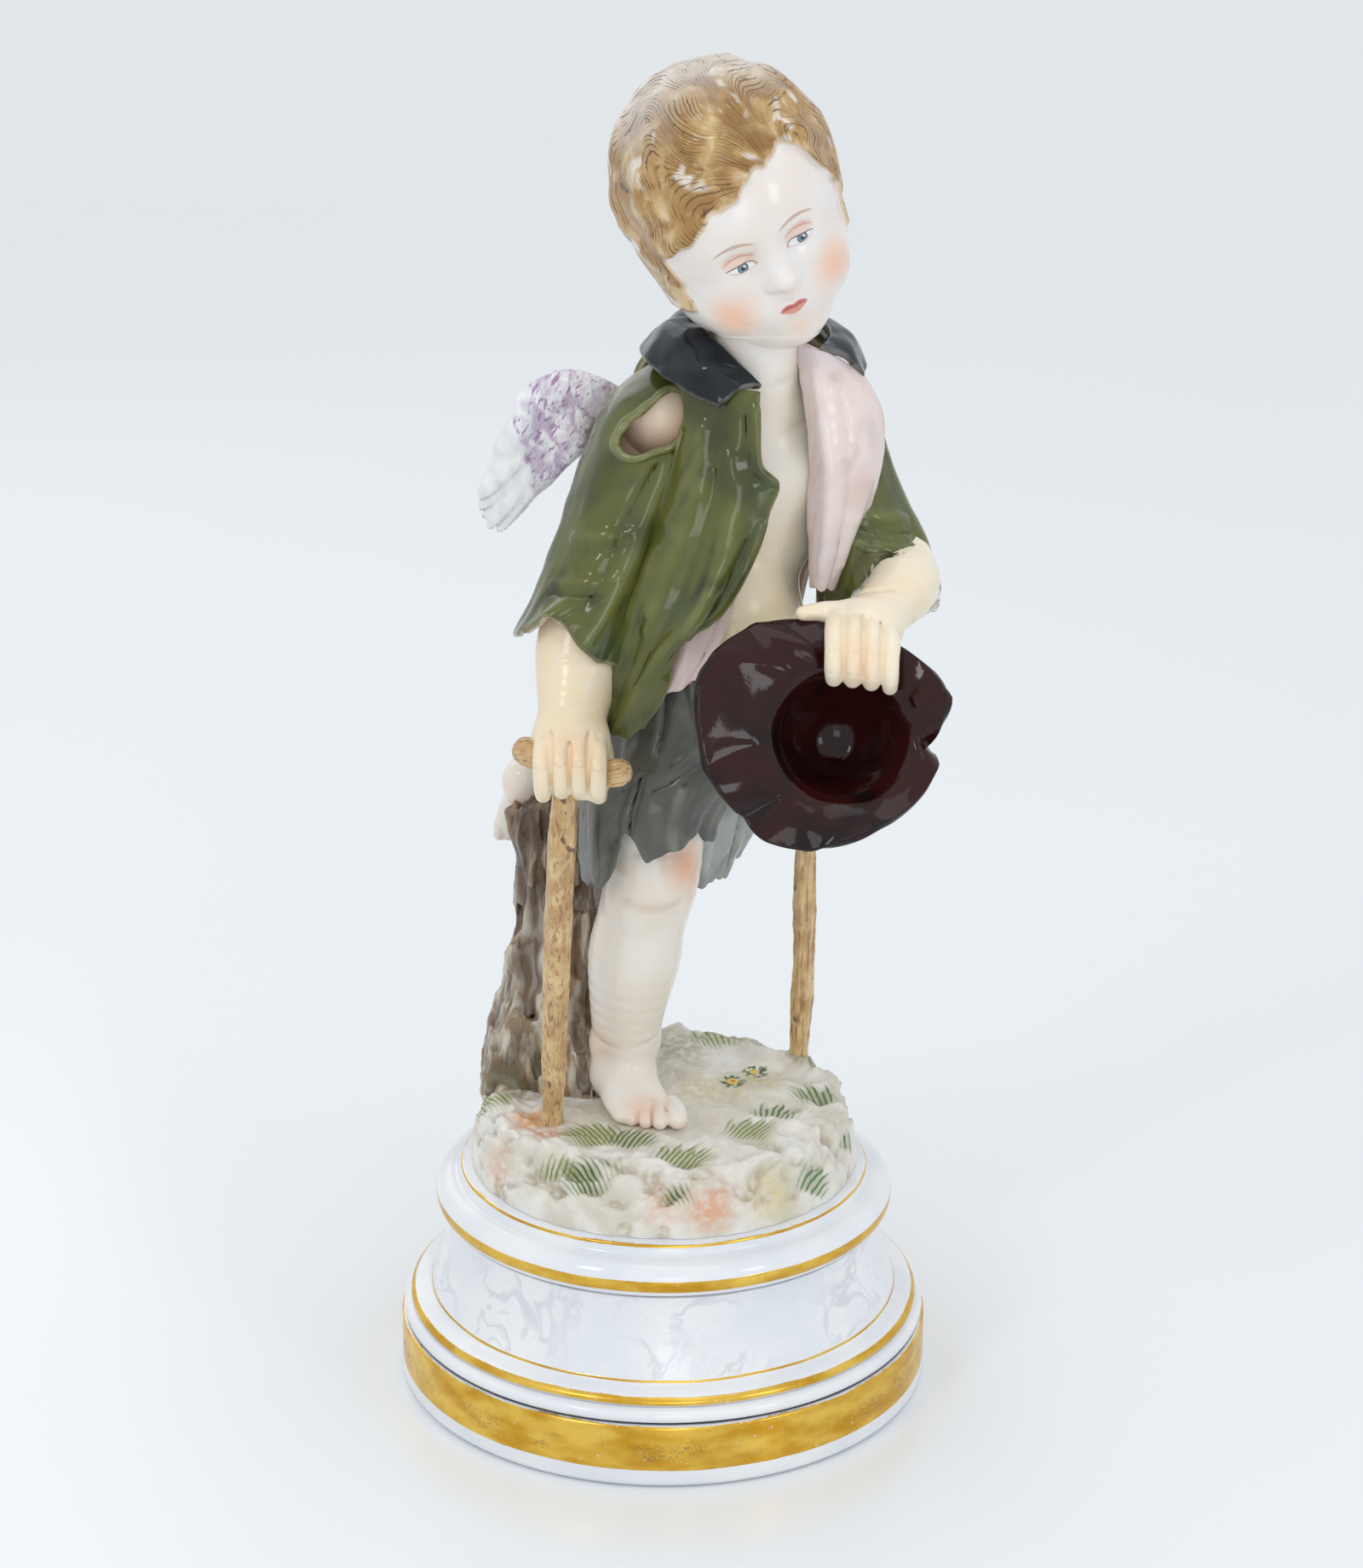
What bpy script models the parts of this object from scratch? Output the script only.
"""Porcelain figurine: a winged child beggar with crutches and a hat, on a rocky mound and a gilded round socle.

Each separately moulded piece is one closed solid. Millimetre figures are multiplied by MM. The origin is the
centre of the socle's underside, +Z is up and -Y is the front. The figure's own places are given from the
middle of the mound's top, at the figure's nominal height, and fig() scales them to the height wanted.
"""

from math import cos, pi, radians, sin

import bmesh
import bpy
from mathutils import Matrix, Vector

MM = 0.001

# Driving sizes
NOMINAL_HEIGHT = 162.5 * MM
FIGURE_HEIGHT = 162.5 * MM
SEAM = 0.3 * MM
CLOTH_WALL = 1.3 * MM

# Socle
FOOT_HEIGHT = 10.6 * MM
LOWER_TORUS = 1.1 * MM
STEP_HEIGHT = 3.0 * MM
CAVETTO_HEIGHT = 12.5 * MM
WAIST_DEPTH = 2.7 * MM
UPPER_TORUS = 2.9 * MM
UPPER_LEDGE = 1.9 * MM
LEDGE = 0.8 * MM
WAIST_OVERHANG = 3.0 * MM
FOOT_OVERHANG = 5.0 * MM
SOCLE_WALL = 3.0 * MM
SOCLE_SIDES = 36
VENT_RADIUS = 3.0 * MM
VENT_OFFSET = 16.0 * MM

# Mound
MOUND_HEIGHT = 9.6 * MM
MOUND_MARGIN = 1.3 * MM
MOUND_SHOULDER = 4.0 * MM
ROCK_RELIEF = 0.7 * MM

# Crutches and hat
CRUTCH_RADIUS = 2.05 * MM
CRUTCH_TAPER = 0.8
HANDLE_RADIUS = 1.75 * MM
STICK_RADIUS = 1.75 * MM
HAT_BRIM = 17.4 * MM
HAT_CROWN = 9.6 * MM
HAT_DEPTH = 11.0 * MM
HAT_WALL = 1.5 * MM
HAT_WAVE = 1.6 * MM
HAT_GRIP = radians(66)
HAT_DENT = radians(-45)

# Sculpting
CLAY_VOXEL = 0.8 * MM
FINE_VOXEL = 0.5 * MM
BODY_TURN = radians(20)
MERGE = 0.01 * MM

# Worked out from the sizes above
SCALE = FIGURE_HEIGHT / NOMINAL_HEIGHT
FOOTPRINT = 30.0 * MM * SCALE
MOUND_RADIUS = FOOTPRINT + MOUND_MARGIN
WAIST_RADIUS = MOUND_RADIUS + WAIST_OVERHANG
STEP_RADIUS = WAIST_RADIUS + WAIST_DEPTH
FOOT_RADIUS = STEP_RADIUS + FOOT_OVERHANG
CAVETTO_Z = FOOT_HEIGHT + 2 * LOWER_TORUS + STEP_HEIGHT
UPPER_Z = CAVETTO_Z + CAVETTO_HEIGHT
SOCLE_TOP = UPPER_Z + 2 * UPPER_TORUS + UPPER_LEDGE
GROUND_Z = SOCLE_TOP + SEAM + MOUND_HEIGHT


def fig(x, y, z):
    """A place on the figure, from the middle of the mound's top, in nominal millimetres."""
    return Vector((x * MM * SCALE, y * MM * SCALE, GROUND_Z + z * MM * SCALE))


def finish(name, colour, roughness, metallic=0.0):
    """A glaze or gilding with its colour, roughness and metallic value."""
    material = bpy.data.materials.new(name)
    material.use_nodes = True
    shader = material.node_tree.nodes["Principled BSDF"]
    shader.inputs["Base Color"].default_value = (*colour, 1.0)
    shader.inputs["Roughness"].default_value = roughness
    shader.inputs["Metallic"].default_value = metallic
    material.diffuse_color = (*colour, 1.0)
    return material


def new_object(name, mesh):
    """An object in the scene that holds this mesh."""
    obj = bpy.data.objects.new(name, mesh)
    bpy.context.scene.collection.objects.link(obj)
    return obj


def from_bmesh(name, shape):
    """An object made from a bmesh, its faces turned outwards."""
    bmesh.ops.recalc_face_normals(shape, faces=shape.faces)
    mesh = bpy.data.meshes.new(name)
    shape.to_mesh(mesh)
    shape.free()
    return new_object(name, mesh)


def settle(obj):
    """Turns an object's modifiers into plain mesh."""
    graph = bpy.context.evaluated_depsgraph_get()
    mesh = bpy.data.meshes.new_from_object(obj.evaluated_get(graph))
    obj.modifiers.clear()
    obj.data = mesh
    return obj


def discard(obj):
    """Removes an object that has done its work."""
    bpy.data.objects.remove(obj, do_unlink=True)


def dress(obj, material, sharp=radians(50)):
    """Gives a finished piece its material and its shading."""
    obj.data.materials.clear()
    obj.data.materials.append(material)
    obj.data.shade_smooth()
    obj.data.set_sharp_from_angle(angle=sharp)
    return obj


def catmull(points, steps, closed=False):
    """A smooth line through the points, with a number of steps from each to the next."""
    count = len(points)
    spans = count if closed else count - 1
    line = []
    for span in range(spans):
        if closed:
            p0, p1, p2, p3 = (points[(span + k) % count] for k in (-1, 0, 1, 2))
        else:
            p0, p1, p2, p3 = (points[min(max(span + k, 0), count - 1)] for k in (-1, 0, 1, 2))
        for step in range(steps):
            t = step / steps
            bend = 2 * p0 - 5 * p1 + 4 * p2 - p3
            turn = 3 * p1 - p0 - 3 * p2 + p3
            line.append((2 * p1 + (p2 - p0) * t + bend * t * t + turn * t * t * t) / 2)
    if not closed:
        line.append(points[-1].copy())
    return line


def ball(centre, radii, turn=0.0, segments=20, rings=12):
    """An ellipsoid lump of clay, turned about the vertical, its radii in nominal millimetres."""
    shape = bmesh.new()
    bmesh.ops.create_uvsphere(shape, u_segments=segments, v_segments=rings, radius=1.0)
    size = Matrix.Diagonal((*(r * MM * SCALE for r in radii), 1.0))
    shape.transform(Matrix.Translation(centre) @ Matrix.Rotation(turn, 4, "Z") @ size)
    return from_bmesh("ball", shape)


def limb(stations, flat=Vector((0, 1, 0)), sides=14, steps=2, scale=True, dome=1.0):
    """A round-ended roll of clay through stations, each a place, a half-width and a half-depth.

    The half-depth lies nearest to the direction called flat, and dome is the ends' fullness.
    """
    unit = MM * SCALE if scale else 1.0
    places = catmull([place for place, _, _ in stations], steps)
    sizes = catmull([Vector((width, depth)) * unit for _, width, depth in stations], steps)
    shape = bmesh.new()
    loops = []
    for index, place in enumerate(places):
        before = places[max(index - 1, 0)]
        after = places[min(index + 1, len(places) - 1)]
        along = (after - before).normalized()
        across = flat.cross(along).normalized()
        deep = along.cross(across).normalized()
        shrinks = [(0.0, 1.0)]
        if index == 0:
            shrinks = [(-0.72, 0.45), (-0.45, 0.8), (0.0, 1.0)]
        elif index == len(places) - 1:
            shrinks = [(0.0, 1.0), (0.45, 0.8), (0.72, 0.45)]
        width, depth = sizes[index]
        for push, shrink in shrinks:
            loop = []
            for side in range(sides):
                angle = 2 * pi * side / sides
                reach = across * cos(angle) * width + deep * sin(angle) * depth
                loop.append(shape.verts.new(place + along * push * dome * min(width, depth) + reach * shrink))
            loops.append(loop)
    for lower, upper in zip(loops, loops[1:]):
        for side in range(sides):
            after = (side + 1) % sides
            shape.faces.new((lower[side], lower[after], upper[after], upper[side]))
    shape.faces.new(loops[0][::-1])
    shape.faces.new(loops[-1])
    return from_bmesh("limb", shape)


def clay(name, lumps, triangles, voxel=CLAY_VOXEL, rounds=6):
    """Presses lumps into one smooth body with about this many triangles."""
    shape = bmesh.new()
    for lump in lumps:
        shape.from_mesh(lump.data)
        discard(lump)
    body = from_bmesh(name, shape)
    remesh = body.modifiers.new("press", "REMESH")
    remesh.mode = "VOXEL"
    remesh.voxel_size = voxel
    smooth = body.modifiers.new("sponge", "SMOOTH")
    smooth.factor = 0.5
    smooth.iterations = rounds
    settle(body)
    thin = body.modifiers.new("fewer faces", "DECIMATE")
    thin.ratio = min(1.0, triangles / (2 * len(body.data.polygons)))
    return largest_body(settle(body))


def drape(name, rows, wall, closed=False, steps=2):
    """Cloth through rows of places, with a wall thickness. Each row runs across and may close on itself."""
    fine_rows = [catmull(row, steps, closed) for row in rows]
    columns = [catmull(list(column), steps) for column in zip(*fine_rows)]
    shape = bmesh.new()
    grid = [[shape.verts.new(place) for place in column] for column in columns]
    spans = len(grid) if closed else len(grid) - 1
    for span in range(spans):
        left, right = grid[span], grid[(span + 1) % len(grid)]
        for step in range(len(left) - 1):
            shape.faces.new((left[step], right[step], right[step + 1], left[step + 1]))
    cloth = from_bmesh(name, shape)
    solid = cloth.modifiers.new("wall", "SOLIDIFY")
    solid.thickness = wall
    solid.offset = 0.0
    settle(cloth)
    return outward(cloth)


def outward(obj):
    """Turns a closed body's faces outwards."""
    shape = bmesh.new()
    shape.from_mesh(obj.data)
    bmesh.ops.recalc_face_normals(shape, faces=shape.faces)
    shape.to_mesh(obj.data)
    shape.free()
    return obj


def skin_area(body):
    """The area of the faces round a set of vertices."""
    return sum(face.calc_area() for face in {face for vert in body for face in vert.link_faces})


def largest_body(obj):
    """Keeps the largest of an object's separate bodies."""
    shape = bmesh.new()
    shape.from_mesh(obj.data)
    left = set(shape.verts)
    bodies = []
    while left:
        seed = left.pop()
        body = {seed}
        edge = [seed]
        while edge:
            vert = edge.pop()
            for link in vert.link_edges:
                other = link.other_vert(vert)
                if other in left:
                    left.remove(other)
                    body.add(other)
                    edge.append(other)
        bodies.append(body)
    bodies.sort(key=skin_area)
    for body in bodies[:-1]:
        bmesh.ops.delete(shape, geom=list(body), context="VERTS")
    shape.to_mesh(obj.data)
    shape.free()
    return obj


def fattened(neighbours, gap):
    """A hidden cutter: copies of pieces, each grown by the gap along its normals."""
    shape = bmesh.new()
    for neighbour in neighbours:
        copy = new_object("copy", neighbour.data.copy())
        grow = copy.modifiers.new("gap", "DISPLACE")
        grow.mid_level = 0.0
        grow.strength = gap
        shape.from_mesh(settle(copy).data)
        discard(copy)
    return from_bmesh("cutter", shape)


def cut(piece, cutter):
    """Takes a cutter out of a piece, for good."""
    cutter.hide_render = True
    cutter.display_type = "WIRE"
    boolean = piece.modifiers.new("cut", "BOOLEAN")
    boolean.operation = "DIFFERENCE"
    boolean.solver = "EXACT"
    boolean.use_self = True
    boolean.object = cutter
    settle(piece)
    discard(cutter)
    return piece


def box(obj):
    """The lowest and highest corners of an object's mesh."""
    places = [vert.co for vert in obj.data.vertices]
    return [Vector(pick(place[axis] for place in places) for axis in range(3)) for pick in (min, max)]


def near(piece, neighbour, gap):
    """Whether two pieces' boxes come within the gap of each other."""
    low, high = box(piece)
    other_low, other_high = box(neighbour)
    return all(low[a] < other_high[a] + gap and other_low[a] < high[a] + gap for a in range(3))


def fit(piece, *neighbours, gap=SEAM):
    """Cuts a piece back from the neighbours it could touch, which leaves the slip joint's gap."""
    close = [neighbour for neighbour in neighbours if near(piece, neighbour, gap)]
    if close:
        cut(piece, fattened(close, gap))
    return weld(largest_body(piece))


def weld(obj):
    """Removes the slivers that a cut leaves."""
    shape = bmesh.new()
    shape.from_mesh(obj.data)
    bmesh.ops.remove_doubles(shape, verts=shape.verts, dist=MERGE)
    bmesh.ops.triangulate(shape, faces=shape.faces)
    shape.to_mesh(obj.data)
    shape.free()
    return obj


def arc(centre_r, centre_z, radius, start, end, steps):
    """Points of a turned profile along an arc, from one angle to another, measured from outwards to upwards."""
    angles = [start + (end - start) * step / steps for step in range(steps + 1)]
    return [(centre_r + radius * cos(a), centre_z + radius * sin(a)) for a in angles]


def make_socle():
    """The turned, hollow socle with its foot band, two half-round rings and hollow waist."""
    outer = [(FOOT_RADIUS - 0.8 * MM, 0.0), (FOOT_RADIUS, 0.8 * MM), (FOOT_RADIUS, FOOT_HEIGHT)]
    ring_r = FOOT_RADIUS - LOWER_TORUS - 0.4 * MM
    outer += arc(ring_r, FOOT_HEIGHT + LOWER_TORUS, LOWER_TORUS, -pi / 2, pi / 2, 3)
    outer.append((STEP_RADIUS + 1.2 * MM, CAVETTO_Z - 0.8 * MM))
    outer.append((STEP_RADIUS, CAVETTO_Z))
    for step in range(1, 5):
        rise = step / 4
        outer.append((WAIST_RADIUS + WAIST_DEPTH * (1 - rise) ** 2.0, CAVETTO_Z + CAVETTO_HEIGHT * rise))
    outer += arc(WAIST_RADIUS - 1.0 * MM, UPPER_Z + UPPER_TORUS, UPPER_TORUS, -pi / 2, pi / 2, 6)
    outer.append((MOUND_RADIUS + LEDGE, SOCLE_TOP))
    inner = [
        (0.0, SOCLE_TOP),
        (0.0, SOCLE_TOP - SOCLE_WALL),
        (WAIST_RADIUS - SOCLE_WALL, SOCLE_TOP - SOCLE_WALL),
        (WAIST_RADIUS - SOCLE_WALL, CAVETTO_Z + CAVETTO_HEIGHT / 3),
        (FOOT_RADIUS - 2 * SOCLE_WALL, FOOT_HEIGHT),
        (FOOT_RADIUS - 2 * SOCLE_WALL, SOCLE_WALL),
        (0.0, SOCLE_WALL),
        (0.0, 0.0),
    ]
    shape = bmesh.new()
    profile = [shape.verts.new((r, 0.0, z)) for r, z in outer + inner]
    edges = [shape.edges.new(pair) for pair in zip(profile, profile[1:] + profile[:1])]
    edges = [edge for edge in edges if max(vert.co.x for vert in edge.verts) > 0.0]
    turned = {"geom": profile + edges, "cent": (0, 0, 0), "axis": (0, 0, 1), "angle": 2 * pi}
    bmesh.ops.spin(shape, steps=SOCLE_SIDES, use_merge=True, **turned)
    bmesh.ops.remove_doubles(shape, verts=shape.verts, dist=0.01 * MM)
    loose = [edge for edge in shape.edges if not edge.link_faces]
    bmesh.ops.delete(shape, geom=loose, context="EDGES")
    socle = from_bmesh("socle", shape)
    shape = bmesh.new()
    bore = {"radius1": VENT_RADIUS, "radius2": VENT_RADIUS, "depth": 3 * SOCLE_WALL}
    bmesh.ops.create_cone(shape, cap_ends=True, segments=20, **bore)
    shape.transform(Matrix.Translation((0, VENT_OFFSET, 0)))
    cut(socle, from_bmesh("vent", shape))
    return weld(socle)


def rock(angle, reach):
    """Height of the mound's relief at an angle and a share of its radius."""
    waves = sin(3 * angle + 4 * reach) + 0.7 * sin(5 * angle - 7 * reach + 1.3) + 0.5 * sin(8 * angle + 2.1)
    return ROCK_RELIEF * waves * reach


def make_mound():
    """The rocky mound, flat below, with a rounded shoulder and an uneven top that rises at the back."""
    sides = 36
    base = SOCLE_TOP + SEAM
    shares = (1.0, 0.985, 0.95, 0.9, 0.8, 0.62, 0.4, 0.2)
    shape = bmesh.new()
    loops = []
    for step, share in enumerate(shares):
        loop = []
        for side in range(sides):
            angle = 2 * pi * side / sides
            edge = MOUND_RADIUS * (1 - share)
            rise = min(1.0, edge / MOUND_SHOULDER)
            height = MOUND_HEIGHT * (0.25 * min(step, 1) + 0.75 * sin(rise * pi / 2))
            back = 1.4 * MM * max(0.0, sin(angle)) * share * rise
            lift = rock(angle, share) * min(step, 1) + back
            reach = MOUND_RADIUS * share + 0.5 * rock(angle, 1.0) * min(step, 1) * share - 0.8 * ROCK_RELIEF
            loop.append(shape.verts.new((reach * cos(angle), reach * sin(angle), base + max(height + lift, 0.0))))
        loops.append(loop)
    for lower, upper in zip(loops, loops[1:]):
        for side in range(sides):
            after = (side + 1) % sides
            shape.faces.new((lower[side], lower[after], upper[after], upper[side]))
    shape.faces.new(loops[0][::-1])
    shape.faces.new(loops[-1])
    return weld(from_bmesh("rock_mound", shape))


def make_stump(mound, left_leg):
    """The tree stump, rooted in the mound, with a slanting broken top that carries the left foot."""
    trunk = limb(
        [
            (fig(-15.6, 12.6, -2.5), 14.4, 12.8),
            (fig(-15.8, 13.2, 2), 13.4, 12.0),
            (fig(-15.9, 14, 12), 10.9, 10.2),
            (fig(-16, 14.3, 24), 8.4, 8.6),
            (fig(-16.4, 14.5, 33), 7.6, 8.2),
            (fig(-17.4, 15, 43), 8.2, 8.4),
            (fig(-18, 15, 52), 8.4, 8.4),
        ],
        dome=0.2,
    )
    roots = [
        limb([(fig(-20, 8, 6), 4, 4), (fig(-25, 5.6, 1), 3.6, 3.6), (fig(-26.4, 4.4, -3), 3, 3)]),
        limb([(fig(-14, 6, 6), 3.5, 3.5), (fig(-11, 2.5, 1), 2.8, 2.8), (fig(-9.5, 1.5, -2), 2, 2)]),
        limb([(fig(-10, 20, 8), 4, 4), (fig(-4, 24, 1), 3, 3), (fig(-2, 25, -2), 2, 2)]),
    ]
    stump = clay("tree_stump", [trunk, *roots], 480)
    shape = bmesh.new()
    bmesh.ops.create_cube(shape, size=60 * MM * SCALE)
    slant = Matrix.Rotation(radians(-24), 4, "Y") @ Matrix.Rotation(radians(-6), 4, "X")
    shape.transform(Matrix.Translation(fig(-18, 14, 47)) @ slant @ Matrix.Translation((0, 0, 30 * MM * SCALE)))
    cut(stump, from_bmesh("broken top", shape))
    return fit(stump, mound, left_leg)


def make_right_leg(mound):
    """The standing leg with its foot, from inside the trousers down to the mound."""
    leg = limb(
        [
            (fig(-1.0, -1, 58), 9.0, 9.0),
            (fig(-2.0, -2, 49), 8.8, 8.8),
            (fig(-2.0, -2.4, 39), 7.7, 8.2),
            (fig(-3.8, -1.4, 31), 7.4, 7.6),
            (fig(-5.0, -0.4, 24), 7.5, 7.8),
            (fig(-5.9, 1.2, 15), 5.9, 6.4),
            (fig(-6.2, 2.0, 8), 5.2, 5.6),
            (fig(-6.6, 2.4, 3), 5.2, 6.0),
        ]
    )
    foot = limb(
        [
            (fig(-8.2, 6.0, 2.6), 4.2, 3.6),
            (fig(-6.4, 0.5, 3.0), 4.9, 4.2),
            (fig(-4.4, -5.5, 1.8), 5.3, 3.0),
            (fig(-3.0, -9.8, 0.9), 5.2, 2.1),
        ],
        flat=Vector((0, 0, 1)),
    )
    toes = []
    for toe in range(5):
        across = toe / 4
        tip = fig(-6.6 + 7.6 * across, -11.0 - 1.8 * sin(across * pi * 0.6), 1.2)
        root = fig(-6.2 + 6.6 * across, -7.6, 1.4)
        size = 1.15 + 0.45 * across
        toes.append(limb([(root, size, size), (tip, size, size)], sides=10))
    leg_body = clay("right_leg", [leg, foot, *toes], 640, voxel=FINE_VOXEL)
    return fit(leg_body, mound)


def make_left_leg(right_leg):
    """The bent leg: thigh down to the knee, shin back across to the top of the stump."""
    left = clay(
        "left_leg",
        [
            limb(
                [
                    (fig(9.4, 3.5, 58), 8.2, 8.2),
                    (fig(7.6, 5.2, 50), 7.6, 7.6),
                    (fig(5.0, 8.0, 42.5), 6.2, 6.6),
                ]
            ),
            limb(
                [
                    (fig(4.8, 8.4, 42.0), 6.0, 6.0),
                    (fig(0.0, 11.4, 42.4), 6.0, 6.0),
                    (fig(-5, 13.6, 43.8), 6.0, 6.0),
                    (fig(-13, 16.0, 45.6), 4.7, 4.7),
                    (fig(-18, 17.4, 46.6), 4.3, 4.3),
                    (fig(-22.2, 18.0, 46.8), 4.6, 4.0),
                ],
                flat=Vector((0, 0, 1)),
            ),
            limb(
                [
                    (fig(-20, 18, 45), 3.8, 4.0),
                    (fig(-22.6, 20.5, 41), 4.2, 2.6),
                    (fig(-23.5, 22, 37.5), 4.2, 1.8),
                ]
            ),
        ],
        460,
    )
    return fit(left, right_leg)


def make_torso(*legs):
    """The bare trunk from the hips to the top of the neck."""
    torso = clay(
        "torso",
        [
            ball(fig(3, 1, 61), (13.0, 11.0, 10.5), BODY_TURN / 2),
            ball(fig(9, -1.5, 78), (12.6, 11.3, 13), BODY_TURN),
            ball(fig(12.6, -0.5, 98), (13.6, 10.6, 13.5), BODY_TURN),
            ball(fig(-0.2, 1, 107.5), (6.6, 6.2, 6.2)),
            ball(fig(24.2, 2.5, 106), (6.0, 6.2, 6.2)),
            limb([(fig(13.2, 0, 110), 8.5, 8.0), (fig(13.2, -3, 116), 6.6, 6.4), (fig(12.8, -5, 122), 6.0, 6.0)]),
        ],
        440,
    )
    return fit(torso, *legs)


def make_head(torso):
    """The head with its hair mass, bowed and turned towards the hat."""
    head = clay(
        "head",
        [
            ball(fig(8.2, -4, 145.6), (17.0, 17.4, 17.0)),
            ball(fig(13, -11.5, 142), (11.5, 9.5, 10.5)),
            ball(fig(13.2, -9.5, 131), (11.4, 10, 9.5)),
            ball(fig(19.4, -12.5, 131.8), (6.4, 6.4, 6.4)),
            ball(fig(9.0, -14.0, 130.2), (6.6, 6.4, 6.4)),
            ball(fig(16.6, -16.5, 125.6), (4.6, 4.2, 4.2)),
            ball(fig(16.0, -20.9, 134.2), (1.9, 2.0, 2.6)),
            ball(fig(2.6, 0, 133), (7.0, 9, 8)),
            ball(fig(5.0, 1.5, 143), (14.2, 14.5, 14.5)),
        ],
        640,
        rounds=10,
    )
    return fit(head, torso)


def make_crutch_right(mound):
    """The right crutch: a tapering shaft under a short cross handle."""
    handle = limb(
        [
            (fig(-20.4, -18.6, 63.4), HANDLE_RADIUS * 1.15, HANDLE_RADIUS * 1.15),
            (fig(-17.0, -19.4, 62.0), HANDLE_RADIUS * 0.9, HANDLE_RADIUS * 0.9),
            (fig(-11.5, -20.2, 60.6), HANDLE_RADIUS * 0.9, HANDLE_RADIUS * 0.9),
            (fig(-7.2, -20.6, 60.9), HANDLE_RADIUS * 1.1, HANDLE_RADIUS * 1.1),
        ],
        flat=Vector((0, 0, 1)),
        sides=8,
        scale=False,
    )
    handle.name = "crutch_right_handle"
    low = CRUTCH_RADIUS * CRUTCH_TAPER
    shaft = limb(
        [
            (fig(-17.4, -9.6, -1.5), low, low),
            (fig(-16.6, -13.6, 22), CRUTCH_RADIUS * 0.95, CRUTCH_RADIUS * 0.95),
            (fig(-15.4, -18.0, 48), CRUTCH_RADIUS, CRUTCH_RADIUS),
            (fig(-14.6, -19.8, 61), CRUTCH_RADIUS * 0.8, CRUTCH_RADIUS * 0.8),
        ],
        sides=8,
        scale=False,
    )
    shaft.name = "crutch_right_shaft"
    return fit(shaft, mound, handle), weld(handle)


def make_crutch_left(mound):
    """The second stick, standing behind the hat with its top under the left sleeve."""
    stick = limb(
        [
            (fig(21.6, 14.6, -1.5), STICK_RADIUS * 0.85, STICK_RADIUS * 0.85),
            (fig(22.2, 12.2, 18), STICK_RADIUS, STICK_RADIUS),
            (fig(22.2, 10.2, 40), STICK_RADIUS * 0.95, STICK_RADIUS * 0.95),
            (fig(23.6, 8.0, 66), STICK_RADIUS, STICK_RADIUS),
            (fig(25.4, 6.2, 90), STICK_RADIUS, STICK_RADIUS),
        ],
        sides=8,
        scale=False,
    )
    stick.name = "crutch_left"
    return fit(stick, mound)


def brim_place(angle, share):
    """A place on the hat's mid-surface: share 0 at the crown's middle, 1 at the crown's edge, 2 at the brim's rim."""
    lobes = 0.8 * cos(2 * angle) + 0.5 * sin(3 * angle - 0.9) + 0.5 * sin(5 * angle + 1.0)
    lobes -= 1.6 * max(0.0, cos(angle - HAT_GRIP)) ** 8 + 1.4 * max(0.0, cos(angle - HAT_DENT)) ** 6
    if share <= 1.0:
        reach = HAT_CROWN * share ** 0.75
        depth = HAT_DEPTH * (1 - share ** 4)
        return Vector((reach * cos(angle), reach * sin(angle), -depth))
    out = share - 1.0
    reach = HAT_CROWN + (HAT_BRIM + 0.6 * HAT_WAVE * lobes - HAT_CROWN) * out
    curl = HAT_WAVE * out * out * (1.0 + lobes)
    return Vector((reach * cos(angle), reach * sin(angle), curl))


def make_hat():
    """The soft hat, its hollow crown turned to the front and its wavy brim around it."""
    sides = 24
    shares = (0.25, 0.55, 0.8, 0.95, 1.0, 1.15, 1.4, 1.7, 2.0)
    shape = bmesh.new()
    middle = shape.verts.new(brim_place(0.0, 0.0))
    loops = [[shape.verts.new(brim_place(2 * pi * s / sides, share)) for s in range(sides)] for share in shares]
    for side in range(sides):
        shape.faces.new((middle, loops[0][side], loops[0][(side + 1) % sides]))
    for inner, outer in zip(loops, loops[1:]):
        for side in range(sides):
            after = (side + 1) % sides
            shape.faces.new((inner[side], outer[side], outer[after], inner[after]))
    facing = Vector((0.06, -0.88, 0.47)).to_track_quat("Z", "Y").to_matrix().to_4x4()
    shape.transform(Matrix.Translation(fig(21.9, -36.2, 71.5)) @ facing)
    hat = from_bmesh("hat", shape)
    wall = hat.modifiers.new("wall", "SOLIDIFY")
    wall.thickness = HAT_WALL
    wall.offset = 0.0
    return outward(settle(hat))


def make_right_arm(torso, handle, shaft):
    """The right arm, bare below the sleeve, its fist closed over the crutch's handle."""
    fingers = []
    for finger in range(4):
        x = -18.0 + 2.75 * finger
        drop = 0.35 * finger
        fingers.append(
            limb(
                [
                    (fig(x, -18.4, 65.4 - drop), 1.35, 1.35),
                    (fig(x, -22.0, 63.6 - drop), 1.4, 1.4),
                    (fig(x, -22.8, 60.6 - drop), 1.35, 1.35),
                    (fig(x + 0.2, -20.8, 58.4 - drop), 1.25, 1.25),
                ],
                flat=Vector((1, 0, 0)),
                sides=10,
            )
        )
    arm = limb(
        [
            (fig(-3.4, 1.0, 105), 5.0, 5.0),
            (fig(-6.8, -1.0, 95), 5.2, 5.4),
            (fig(-10.8, -3.6, 84), 5.8, 6.0),
            (fig(-12.6, -7.4, 77), 6.8, 6.6),
            (fig(-13.0, -11.4, 71.6), 6.0, 5.8),
            (fig(-14.0, -15.2, 66.6), 4.8, 4.6),
            (fig(-14.0, -17.6, 63.6), 5.4, 4.8),
        ]
    )
    palm = ball(fig(-13.9, -19.0, 62.2), (5.7, 4.2, 4.8))
    body = clay("right_arm", [arm, palm, *fingers], 560, voxel=FINE_VOXEL, rounds=3)
    return fit(body, torso, handle, shaft)


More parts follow.
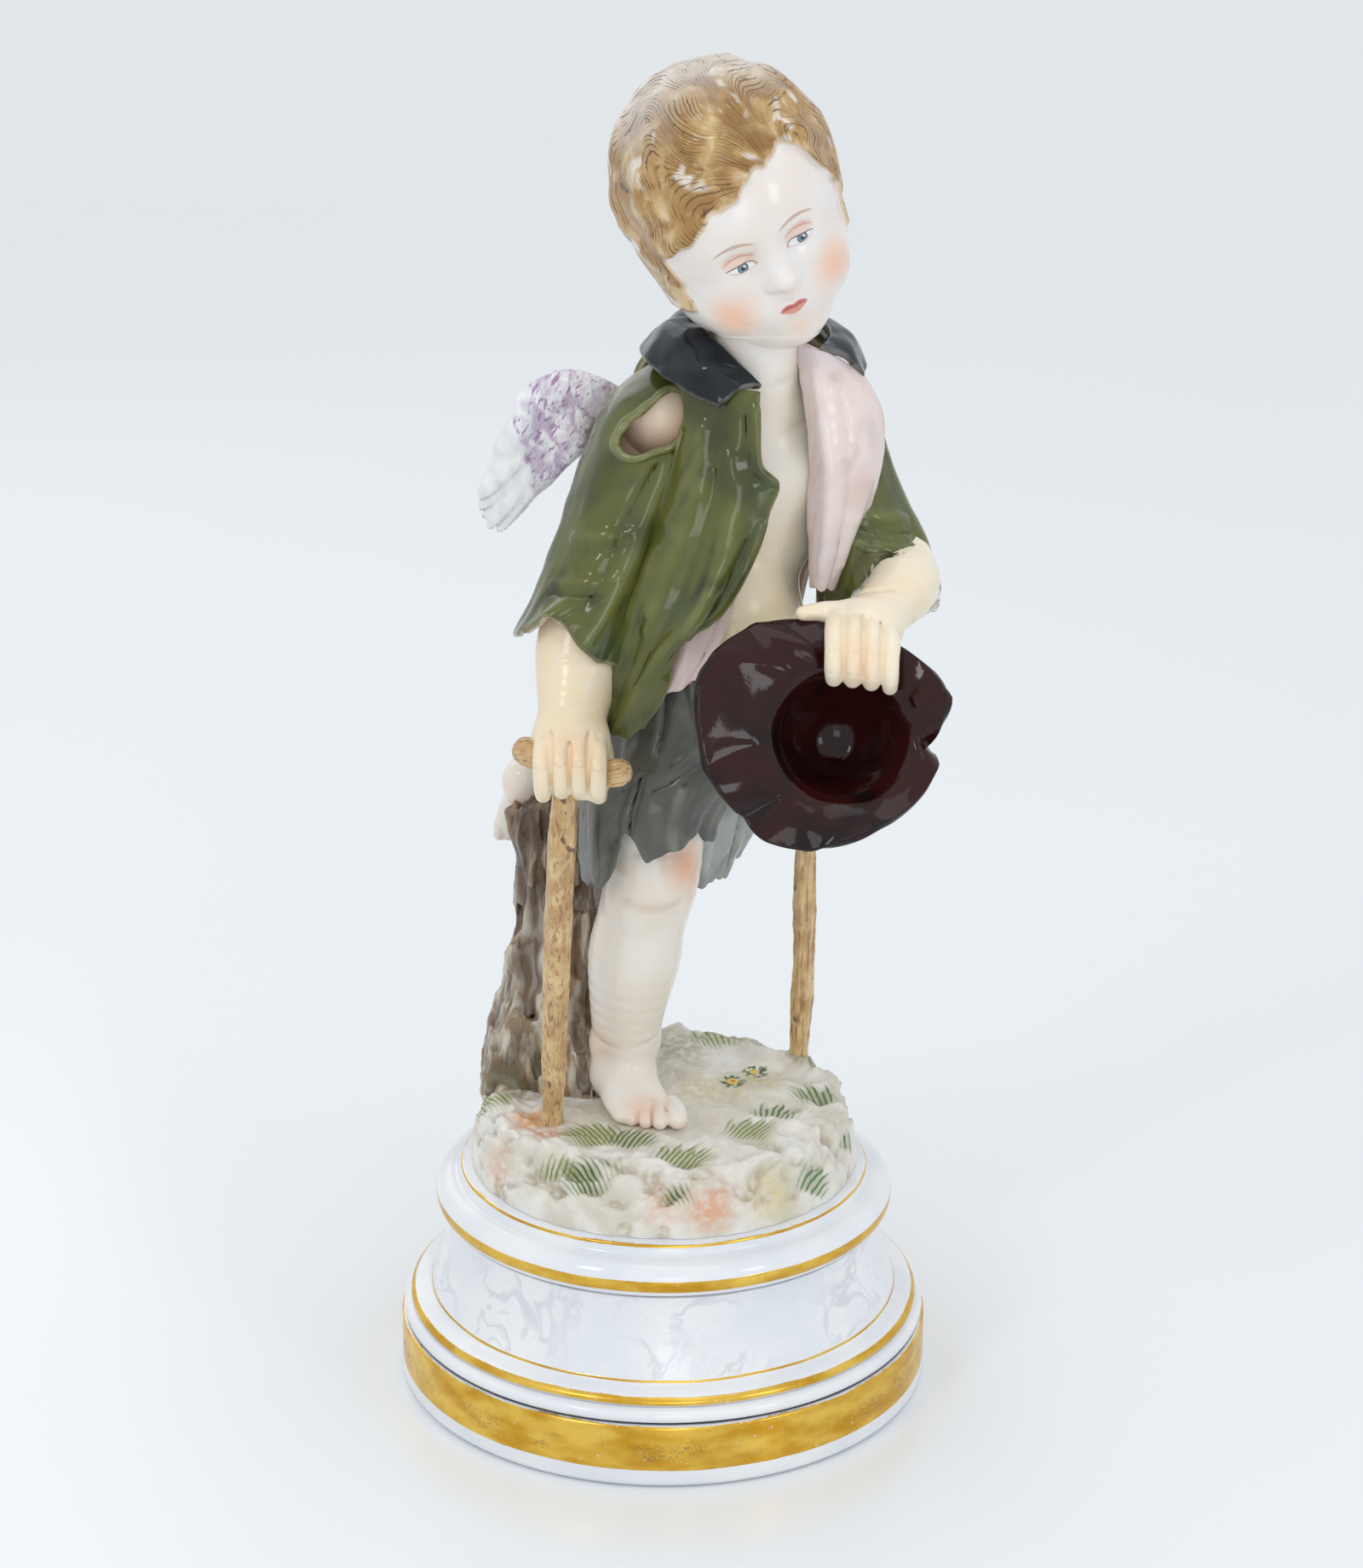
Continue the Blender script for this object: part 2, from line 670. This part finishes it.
def make_left_arm(torso, hat, stick):
    """The left arm, raised forward, its fingers hooked over the hat's brim."""
    fingers = []
    for finger in range(4):
        x = 23.4 + 2.7 * finger
        fall = 0.5 * finger
        fingers.append(
            limb(
                [
                    (fig(x + 0.6, -27.0, 86.0 - fall), 1.5, 1.5),
                    (fig(x + 0.2, -31.0, 85.2 - fall), 1.6, 1.6),
                    (fig(x, -34.0, 82.0 - fall), 1.45, 1.45),
                    (fig(x, -34.2, 79.8 - fall), 1.35, 1.35),
                ],
                flat=Vector((1, 0, 0)),
                sides=10,
            )
        )
    thumb = limb(
        [
            (fig(25.5, -23.6, 85.6), 1.8, 1.8),
            (fig(22.4, -25.2, 86.6), 1.6, 1.6),
            (fig(19.6, -26.6, 87.0), 1.2, 1.2),
        ],
        flat=Vector((0, 0, 1)),
        sides=10,
    )
    arm = limb(
        [
            (fig(26.0, 2.0, 104), 4.6, 4.6),
            (fig(29.4, 0.6, 96), 4.8, 4.8),
            (fig(34.6, -3.8, 88.2), 5.2, 5.0),
            (fig(34.6, -13.0, 86.8), 5.2, 4.8),
            (fig(30.6, -21.0, 85.6), 4.5, 4.3),
            (fig(28.6, -25.0, 84.8), 5.2, 4.2),
        ],
        flat=Vector((0, 0, 1)),
    )
    palm = ball(fig(27.6, -26.8, 84.2), (5.8, 4.2, 3.6))
    body = clay("left_arm", [arm, palm, thumb, *fingers], 560, voxel=FINE_VOXEL, rounds=3)
    return fit(body, torso, hat, stick)


def about_spine(place):
    """The mirror image of a place across the upright plane through the spine."""
    spine = fig(11.5, 0, 0)
    side = Vector((cos(BODY_TURN), sin(BODY_TURN), 0))
    return place - 2 * side * (place - spine).dot(side)


def make_wing(name, torso, mirrored):
    """A small feathered wing, arched up from the shoulder blade and hanging to its tip."""
    route = [
        (fig(-2.6, 9.6, 103.5), 3.4, 2.4),
        (fig(-8.4, 10.4, 108.6), 4.0, 2.3),
        (fig(-14.6, 11.4, 109.0), 4.9, 2.0),
        (fig(-19.4, 13.2, 103.4), 5.3, 1.7),
        (fig(-23.2, 15.4, 96.4), 4.6, 1.3),
        (fig(-26.6, 17.4, 89.4), 2.4, 0.9),
    ]
    flat = Vector((0.45, 0.9, 0)).normalized()
    if mirrored:
        route = [(about_spine(place), width, depth) for place, width, depth in route]
        side = Vector((cos(BODY_TURN), sin(BODY_TURN), 0))
        flat = flat - 2 * side * flat.dot(side)
    wing = limb(route, flat=flat, sides=12)
    wing.name = name
    return fit(wing, torso)


def ring(x, y, z, half_width, half_depth, ripple=0.0, count=8, turn=0.0):
    """Places around an upright oval, with an optional ripple in its reach."""
    places = []
    for step in range(count):
        angle = 2 * pi * step / count
        swell = 1 + ripple * sin(3 * angle + turn)
        places.append(fig(x + half_width * swell * cos(angle), y + half_depth * swell * sin(angle), z))
    return places


def ragged(places, drops):
    """Lowers each place of a hem by its own amount."""
    return [place - Vector((0, 0, drop * MM * SCALE)) for place, drop in zip(places, drops)]


def make_trousers(*neighbours):
    """The ragged knee breeches: waist, seat and the right leg down to its torn hem."""
    hem = ring(-2.6, -2.6, 46.5, 10.6, 10.8, 0.04, 12)
    rows = [
        ring(7.6, -0.8, 74.5, 14.2, 12.8, 0.0, 12),
        ring(5.2, 0.2, 66.0, 14.8, 13.0, 0.02, 12),
        ring(1.6, -0.6, 58.0, 13.6, 12.6, 0.02, 12),
        ring(-1.8, -2.2, 52.0, 11.4, 11.4, 0.03, 12),
        ragged(hem, (0.5, 1.5, 0.5, 2.0, 4.0, 5.5, 7.5, 3.0, -1.5, 1.0, -1.0, 1.5)),
    ]
    return fit(drape("trousers", rows, CLOTH_WALL, closed=True), *neighbours)


def make_trouser_leg(*neighbours):
    """The left leg of the breeches, hanging over the bent knee."""
    hem = ring(2.6, 8.6, 38.0, 8.0, 8.0, 0.04, 10)
    rows = [
        ring(8.8, 3.6, 57.5, 9.6, 9.6, 0.0, 10),
        ring(6.8, 4.8, 50.0, 9.2, 9.4, 0.02, 10),
        ring(4.4, 6.8, 43.5, 8.6, 8.8, 0.02, 10),
        ragged(hem, (0, 1, 0.5, -1.5, -2.5, -1, 1.5, 0.5, 2.5, 2)),
    ]
    return fit(drape("trouser_leg_left", rows, CLOTH_WALL, closed=True), *neighbours)


def make_shirt(*neighbours):
    """The shirt's tail, which shows between the jacket's front edge and the breeches."""
    rows = [
        [fig(*p) for p in ((-8, -6.5, 84), (-3, -12.0, 83), (3.6, -14.2, 84.5), (9.6, -14.4, 85.5))],
        [fig(*p) for p in ((-10, -7.0, 76), (-4.8, -12.8, 75.5), (1.8, -14.8, 76.8), (7.4, -15.4, 78.5))],
        [fig(*p) for p in ((-11.4, -7.6, 68), (-6.6, -13.2, 67), (-1.4, -15.6, 69.5), (3.4, -16.0, 72.5))],
    ]
    return fit(drape("shirt_tail", rows, 0.9 * MM), *neighbours)


def make_jacket_back(*neighbours):
    """The back of the jacket, from the collar to a ragged hem."""
    rows = [
        [fig(*p) for p in ((-3.6, 3.6, 117), (1.4, 8.6, 119), (9.4, 11.2, 119.5), (18, 11.2, 118.5), (25.4, 6.6, 116))],
        [fig(*p) for p in ((-7.6, 6.0, 108), (-0.6, 11.4, 109), (9, 13.8, 109), (19.4, 13.2, 108.5), (28.4, 8.4, 107))],
        [fig(*p) for p in ((-8.6, 5.2, 98), (-1.4, 11.6, 98), (8.6, 14.0, 98), (18.4, 12.8, 98), (26.4, 6.8, 98))],
        [fig(*p) for p in ((-10.4, 3.2, 86), (-3.6, 11.2, 86), (6.4, 14.2, 86), (15.6, 13.2, 86), (22.4, 8.6, 87))],
        [fig(*p) for p in ((-13.4, 1.0, 74), (-7.0, 12.6, 73), (3.6, 16.4, 71), (13.4, 15.0, 73), (20.0, 10.2, 75))],
        [fig(*p) for p in ((-15.0, 0.4, 68), (-8.8, 13.6, 65), (2.4, 17.6, 67), (12.6, 16.2, 65), (19.4, 11.2, 68))],
    ]
    return fit(drape("jacket_back", rows, CLOTH_WALL), *neighbours)


def make_jacket_front_right(*neighbours):
    """The jacket's right front, hanging open from the collar to a long pointed tail."""
    rows = [
        [fig(*p) for p in ((-3.0, -1.0, 118), (2.4, -8.0, 118), (8.6, -12.4, 116.6), (13.0, -13.4, 114.6))],
        [fig(*p) for p in ((-5.4, -7.4, 108), (2.0, -12.4, 108), (8.6, -14.2, 108), (13.8, -14.4, 108))],
        [fig(*p) for p in ((-5.4, -8.6, 100), (1.0, -13.4, 100.5), (8.6, -15.2, 101), (15.8, -15.0, 102.6))],
        [fig(*p) for p in ((-6.0, -9.4, 92), (0.0, -13.8, 92), (6.6, -16.4, 92), (13.4, -16.2, 93))],
        [fig(*p) for p in ((-7.6, -9.8, 84), (-2.6, -14.6, 83), (3.2, -17.2, 82), (7.8, -16.6, 83.6))],
        [fig(*p) for p in ((-9.2, -10.4, 76), (-6.0, -15.0, 74), (-2.2, -17.0, 73.4), (1.2, -16.6, 75.6))],
        [fig(*p) for p in ((-9.8, -10.8, 68.6), (-8.4, -14.2, 66), (-5.2, -16.2, 65.4), (-1.8, -16.2, 68.4))],
    ]
    return fit(drape("jacket_front_right", rows, CLOTH_WALL), *neighbours)


def make_jacket_front_left(*neighbours):
    """The jacket's left front, thrown open so that its pale lining faces forward."""
    rows = [
        [fig(*p) for p in ((21.0, -8.6, 120), (25.0, -6.4, 117.4), (28.2, -3.2, 115))],
        [fig(*p) for p in ((23.2, -11.8, 112.6), (27.6, -9.4, 111.6), (31.0, -4.2, 110.2))],
        [fig(*p) for p in ((24.0, -12.8, 104), (27.8, -10.2, 103), (30.6, -6.0, 102))],
        [fig(*p) for p in ((23.4, -12.6, 96), (26.2, -10.6, 95), (28.2, -7.4, 94))],
        [fig(*p) for p in ((21.8, -12.2, 87.5), (23.8, -10.2, 87), (25.6, -7.8, 86))],
    ]
    return fit(drape("jacket_front_left", rows, CLOTH_WALL), *neighbours)


def make_sleeve_right(*neighbours):
    """The right sleeve, wide at its torn cuff, with the tear at the shoulder."""
    cuff = ring(-13.0, -6.4, 78.5, 8.9, 8.9, 0.05, 10)
    rows = [
        ring(1.0, 1.4, 115.8, 3.6, 4.4, 0.0, 10),
        ring(-1.6, 1.2, 112.8, 6.0, 6.6, 0.0, 10),
        ring(-3.6, -0.2, 104.5, 7.6, 8.4, 0.0, 10),
        ring(-6.4, -2.0, 95.0, 7.8, 8.6, 0.03, 10),
        ring(-9.0, -4.6, 86.0, 8.2, 8.8, 0.04, 10),
        ragged(cuff, (1.5, 0, 0, -1, 0, 0, -1, 1.5, 4.5, 4.0)),
    ]
    sleeve = drape("sleeve_right", rows, CLOTH_WALL, closed=True)
    tear = ball(fig(-4.6, -9.0, 110.4), (2.9, 5.0, 6.2), radians(-24))
    return fit(cut(sleeve, tear), *neighbours)


def make_sleeve_left(*neighbours):
    """The left sleeve, pushed back to the elbow, its lining hanging below."""
    cuff = ring(31.8, -3.4, 85.0, 8.6, 9.0, 0.04, 10)
    rows = [
        ring(23.0, 2.4, 114.4, 3.4, 4.2, 0.0, 10),
        ring(24.6, 2.2, 111.4, 5.4, 6.4, 0.0, 10),
        ring(25.8, 1.4, 104.0, 6.3, 7.4, 0.0, 10),
        ring(28.2, 0.2, 97.0, 6.8, 7.8, 0.03, 10),
        ring(30.2, -1.6, 91.5, 7.8, 8.8, 0.04, 10),
        ragged(cuff, (3, 6, 6, 4, 3, 4, 3, -2, -6, -2)),
    ]
    return fit(drape("sleeve_left", rows, CLOTH_WALL, closed=True), *neighbours)


def make_collar(*neighbours):
    """The turned-down collar, open at the throat."""
    spokes = [
        ((13.4, -13.4, 116.4), (7.2, -15.0, 114.2)),
        ((10.2, -11.6, 119.6), (2.6, -12.0, 115.6)),
        ((5.6, -6.6, 123.0), (-2.8, -5.0, 118.4)),
        ((4.6, 0.8, 124.6), (-3.4, 3.8, 119.6)),
        ((9.8, 6.4, 125.2), (5.8, 11.8, 121.4)),
        ((16.8, 6.6, 124.6), (18.4, 12.8, 120.6)),
        ((22.2, 2.6, 123.4), (26.8, 7.4, 118.8)),
        ((23.4, -3.6, 122.2), (29.2, 1.0, 117.4)),
        ((21.8, -9.0, 121.6), (28.4, -3.6, 116.2)),
    ]
    rows = [[fig(*inner) for inner, _ in spokes], [fig(*outer) for _, outer in spokes]]
    return fit(drape("collar", rows, CLOTH_WALL), *neighbours)


def main():
    """Builds every piece in the order in which they are put together."""
    for obj in list(bpy.data.objects):
        bpy.data.objects.remove(obj, do_unlink=True)

    skin = finish("skin_glaze", (0.86, 0.74, 0.58), 0.16)
    porcelain = finish("white_gilt_porcelain", (0.86, 0.86, 0.84), 0.12)
    rock_paint = finish("rock_glaze", (0.74, 0.72, 0.62), 0.25)
    bark = finish("bark_glaze", (0.20, 0.14, 0.10), 0.30)
    hair = finish("painted_head", (0.62, 0.42, 0.20), 0.20)
    wood = finish("crutch_wood", (0.45, 0.30, 0.17), 0.35)
    burgundy = finish("burgundy_glaze", (0.045, 0.012, 0.010), 0.08)
    olive = finish("olive_glaze", (0.12, 0.14, 0.03), 0.12)
    black = finish("black_glaze", (0.02, 0.03, 0.04), 0.08)
    grey = finish("grey_glaze", (0.22, 0.23, 0.21), 0.22)
    pink = finish("shirt_glaze", (0.80, 0.70, 0.66), 0.20)
    feather = finish("feather_glaze", (0.80, 0.76, 0.82), 0.20)

    socle = dress(make_socle(), porcelain, radians(28))
    mound = dress(make_mound(), rock_paint)
    right_leg = dress(make_right_leg(mound), skin)
    left_leg = dress(make_left_leg(right_leg), skin)
    stump = dress(make_stump(mound, left_leg), bark)
    fit(right_leg, stump)
    dress(right_leg, skin)
    torso = dress(make_torso(right_leg, left_leg), skin)
    head = dress(make_head(torso), hair)
    shaft, handle = make_crutch_right(mound)
    dress(shaft, wood)
    dress(handle, wood)
    stick = dress(make_crutch_left(mound), wood)
    hat = dress(make_hat(), burgundy)
    right_arm = dress(make_right_arm(torso, handle, shaft), skin)
    left_arm = dress(make_left_arm(torso, hat, stick), skin)
    body = [torso, right_leg, left_leg, right_arm, left_arm, stump, shaft, handle, stick, hat]

    trousers = dress(make_trousers(*body), grey)
    trouser_leg = dress(make_trouser_leg(trousers, *body), grey)
    shirt = dress(make_shirt(trousers, *body), pink)
    inner = [trousers, trouser_leg, shirt, *body]
    wing_right = make_wing("wing_right", torso, False)
    wing_left = make_wing("wing_left", torso, True)
    collar = dress(make_collar(torso, head), black)
    sleeve_right = dress(make_sleeve_right(collar, wing_right, *inner), olive)
    sleeve_left = dress(make_sleeve_left(collar, wing_left, *inner), olive)
    sleeves = [collar, sleeve_right, sleeve_left, wing_right, wing_left]
    back = dress(make_jacket_back(*sleeves, *inner), olive)
    front_right = dress(make_jacket_front_right(back, *sleeves, *inner), olive)
    dress(make_jacket_front_left(back, *sleeves, *inner), pink)
    dress(fit(wing_right, front_right), feather)
    dress(wing_left, feather)
    return socle


main()
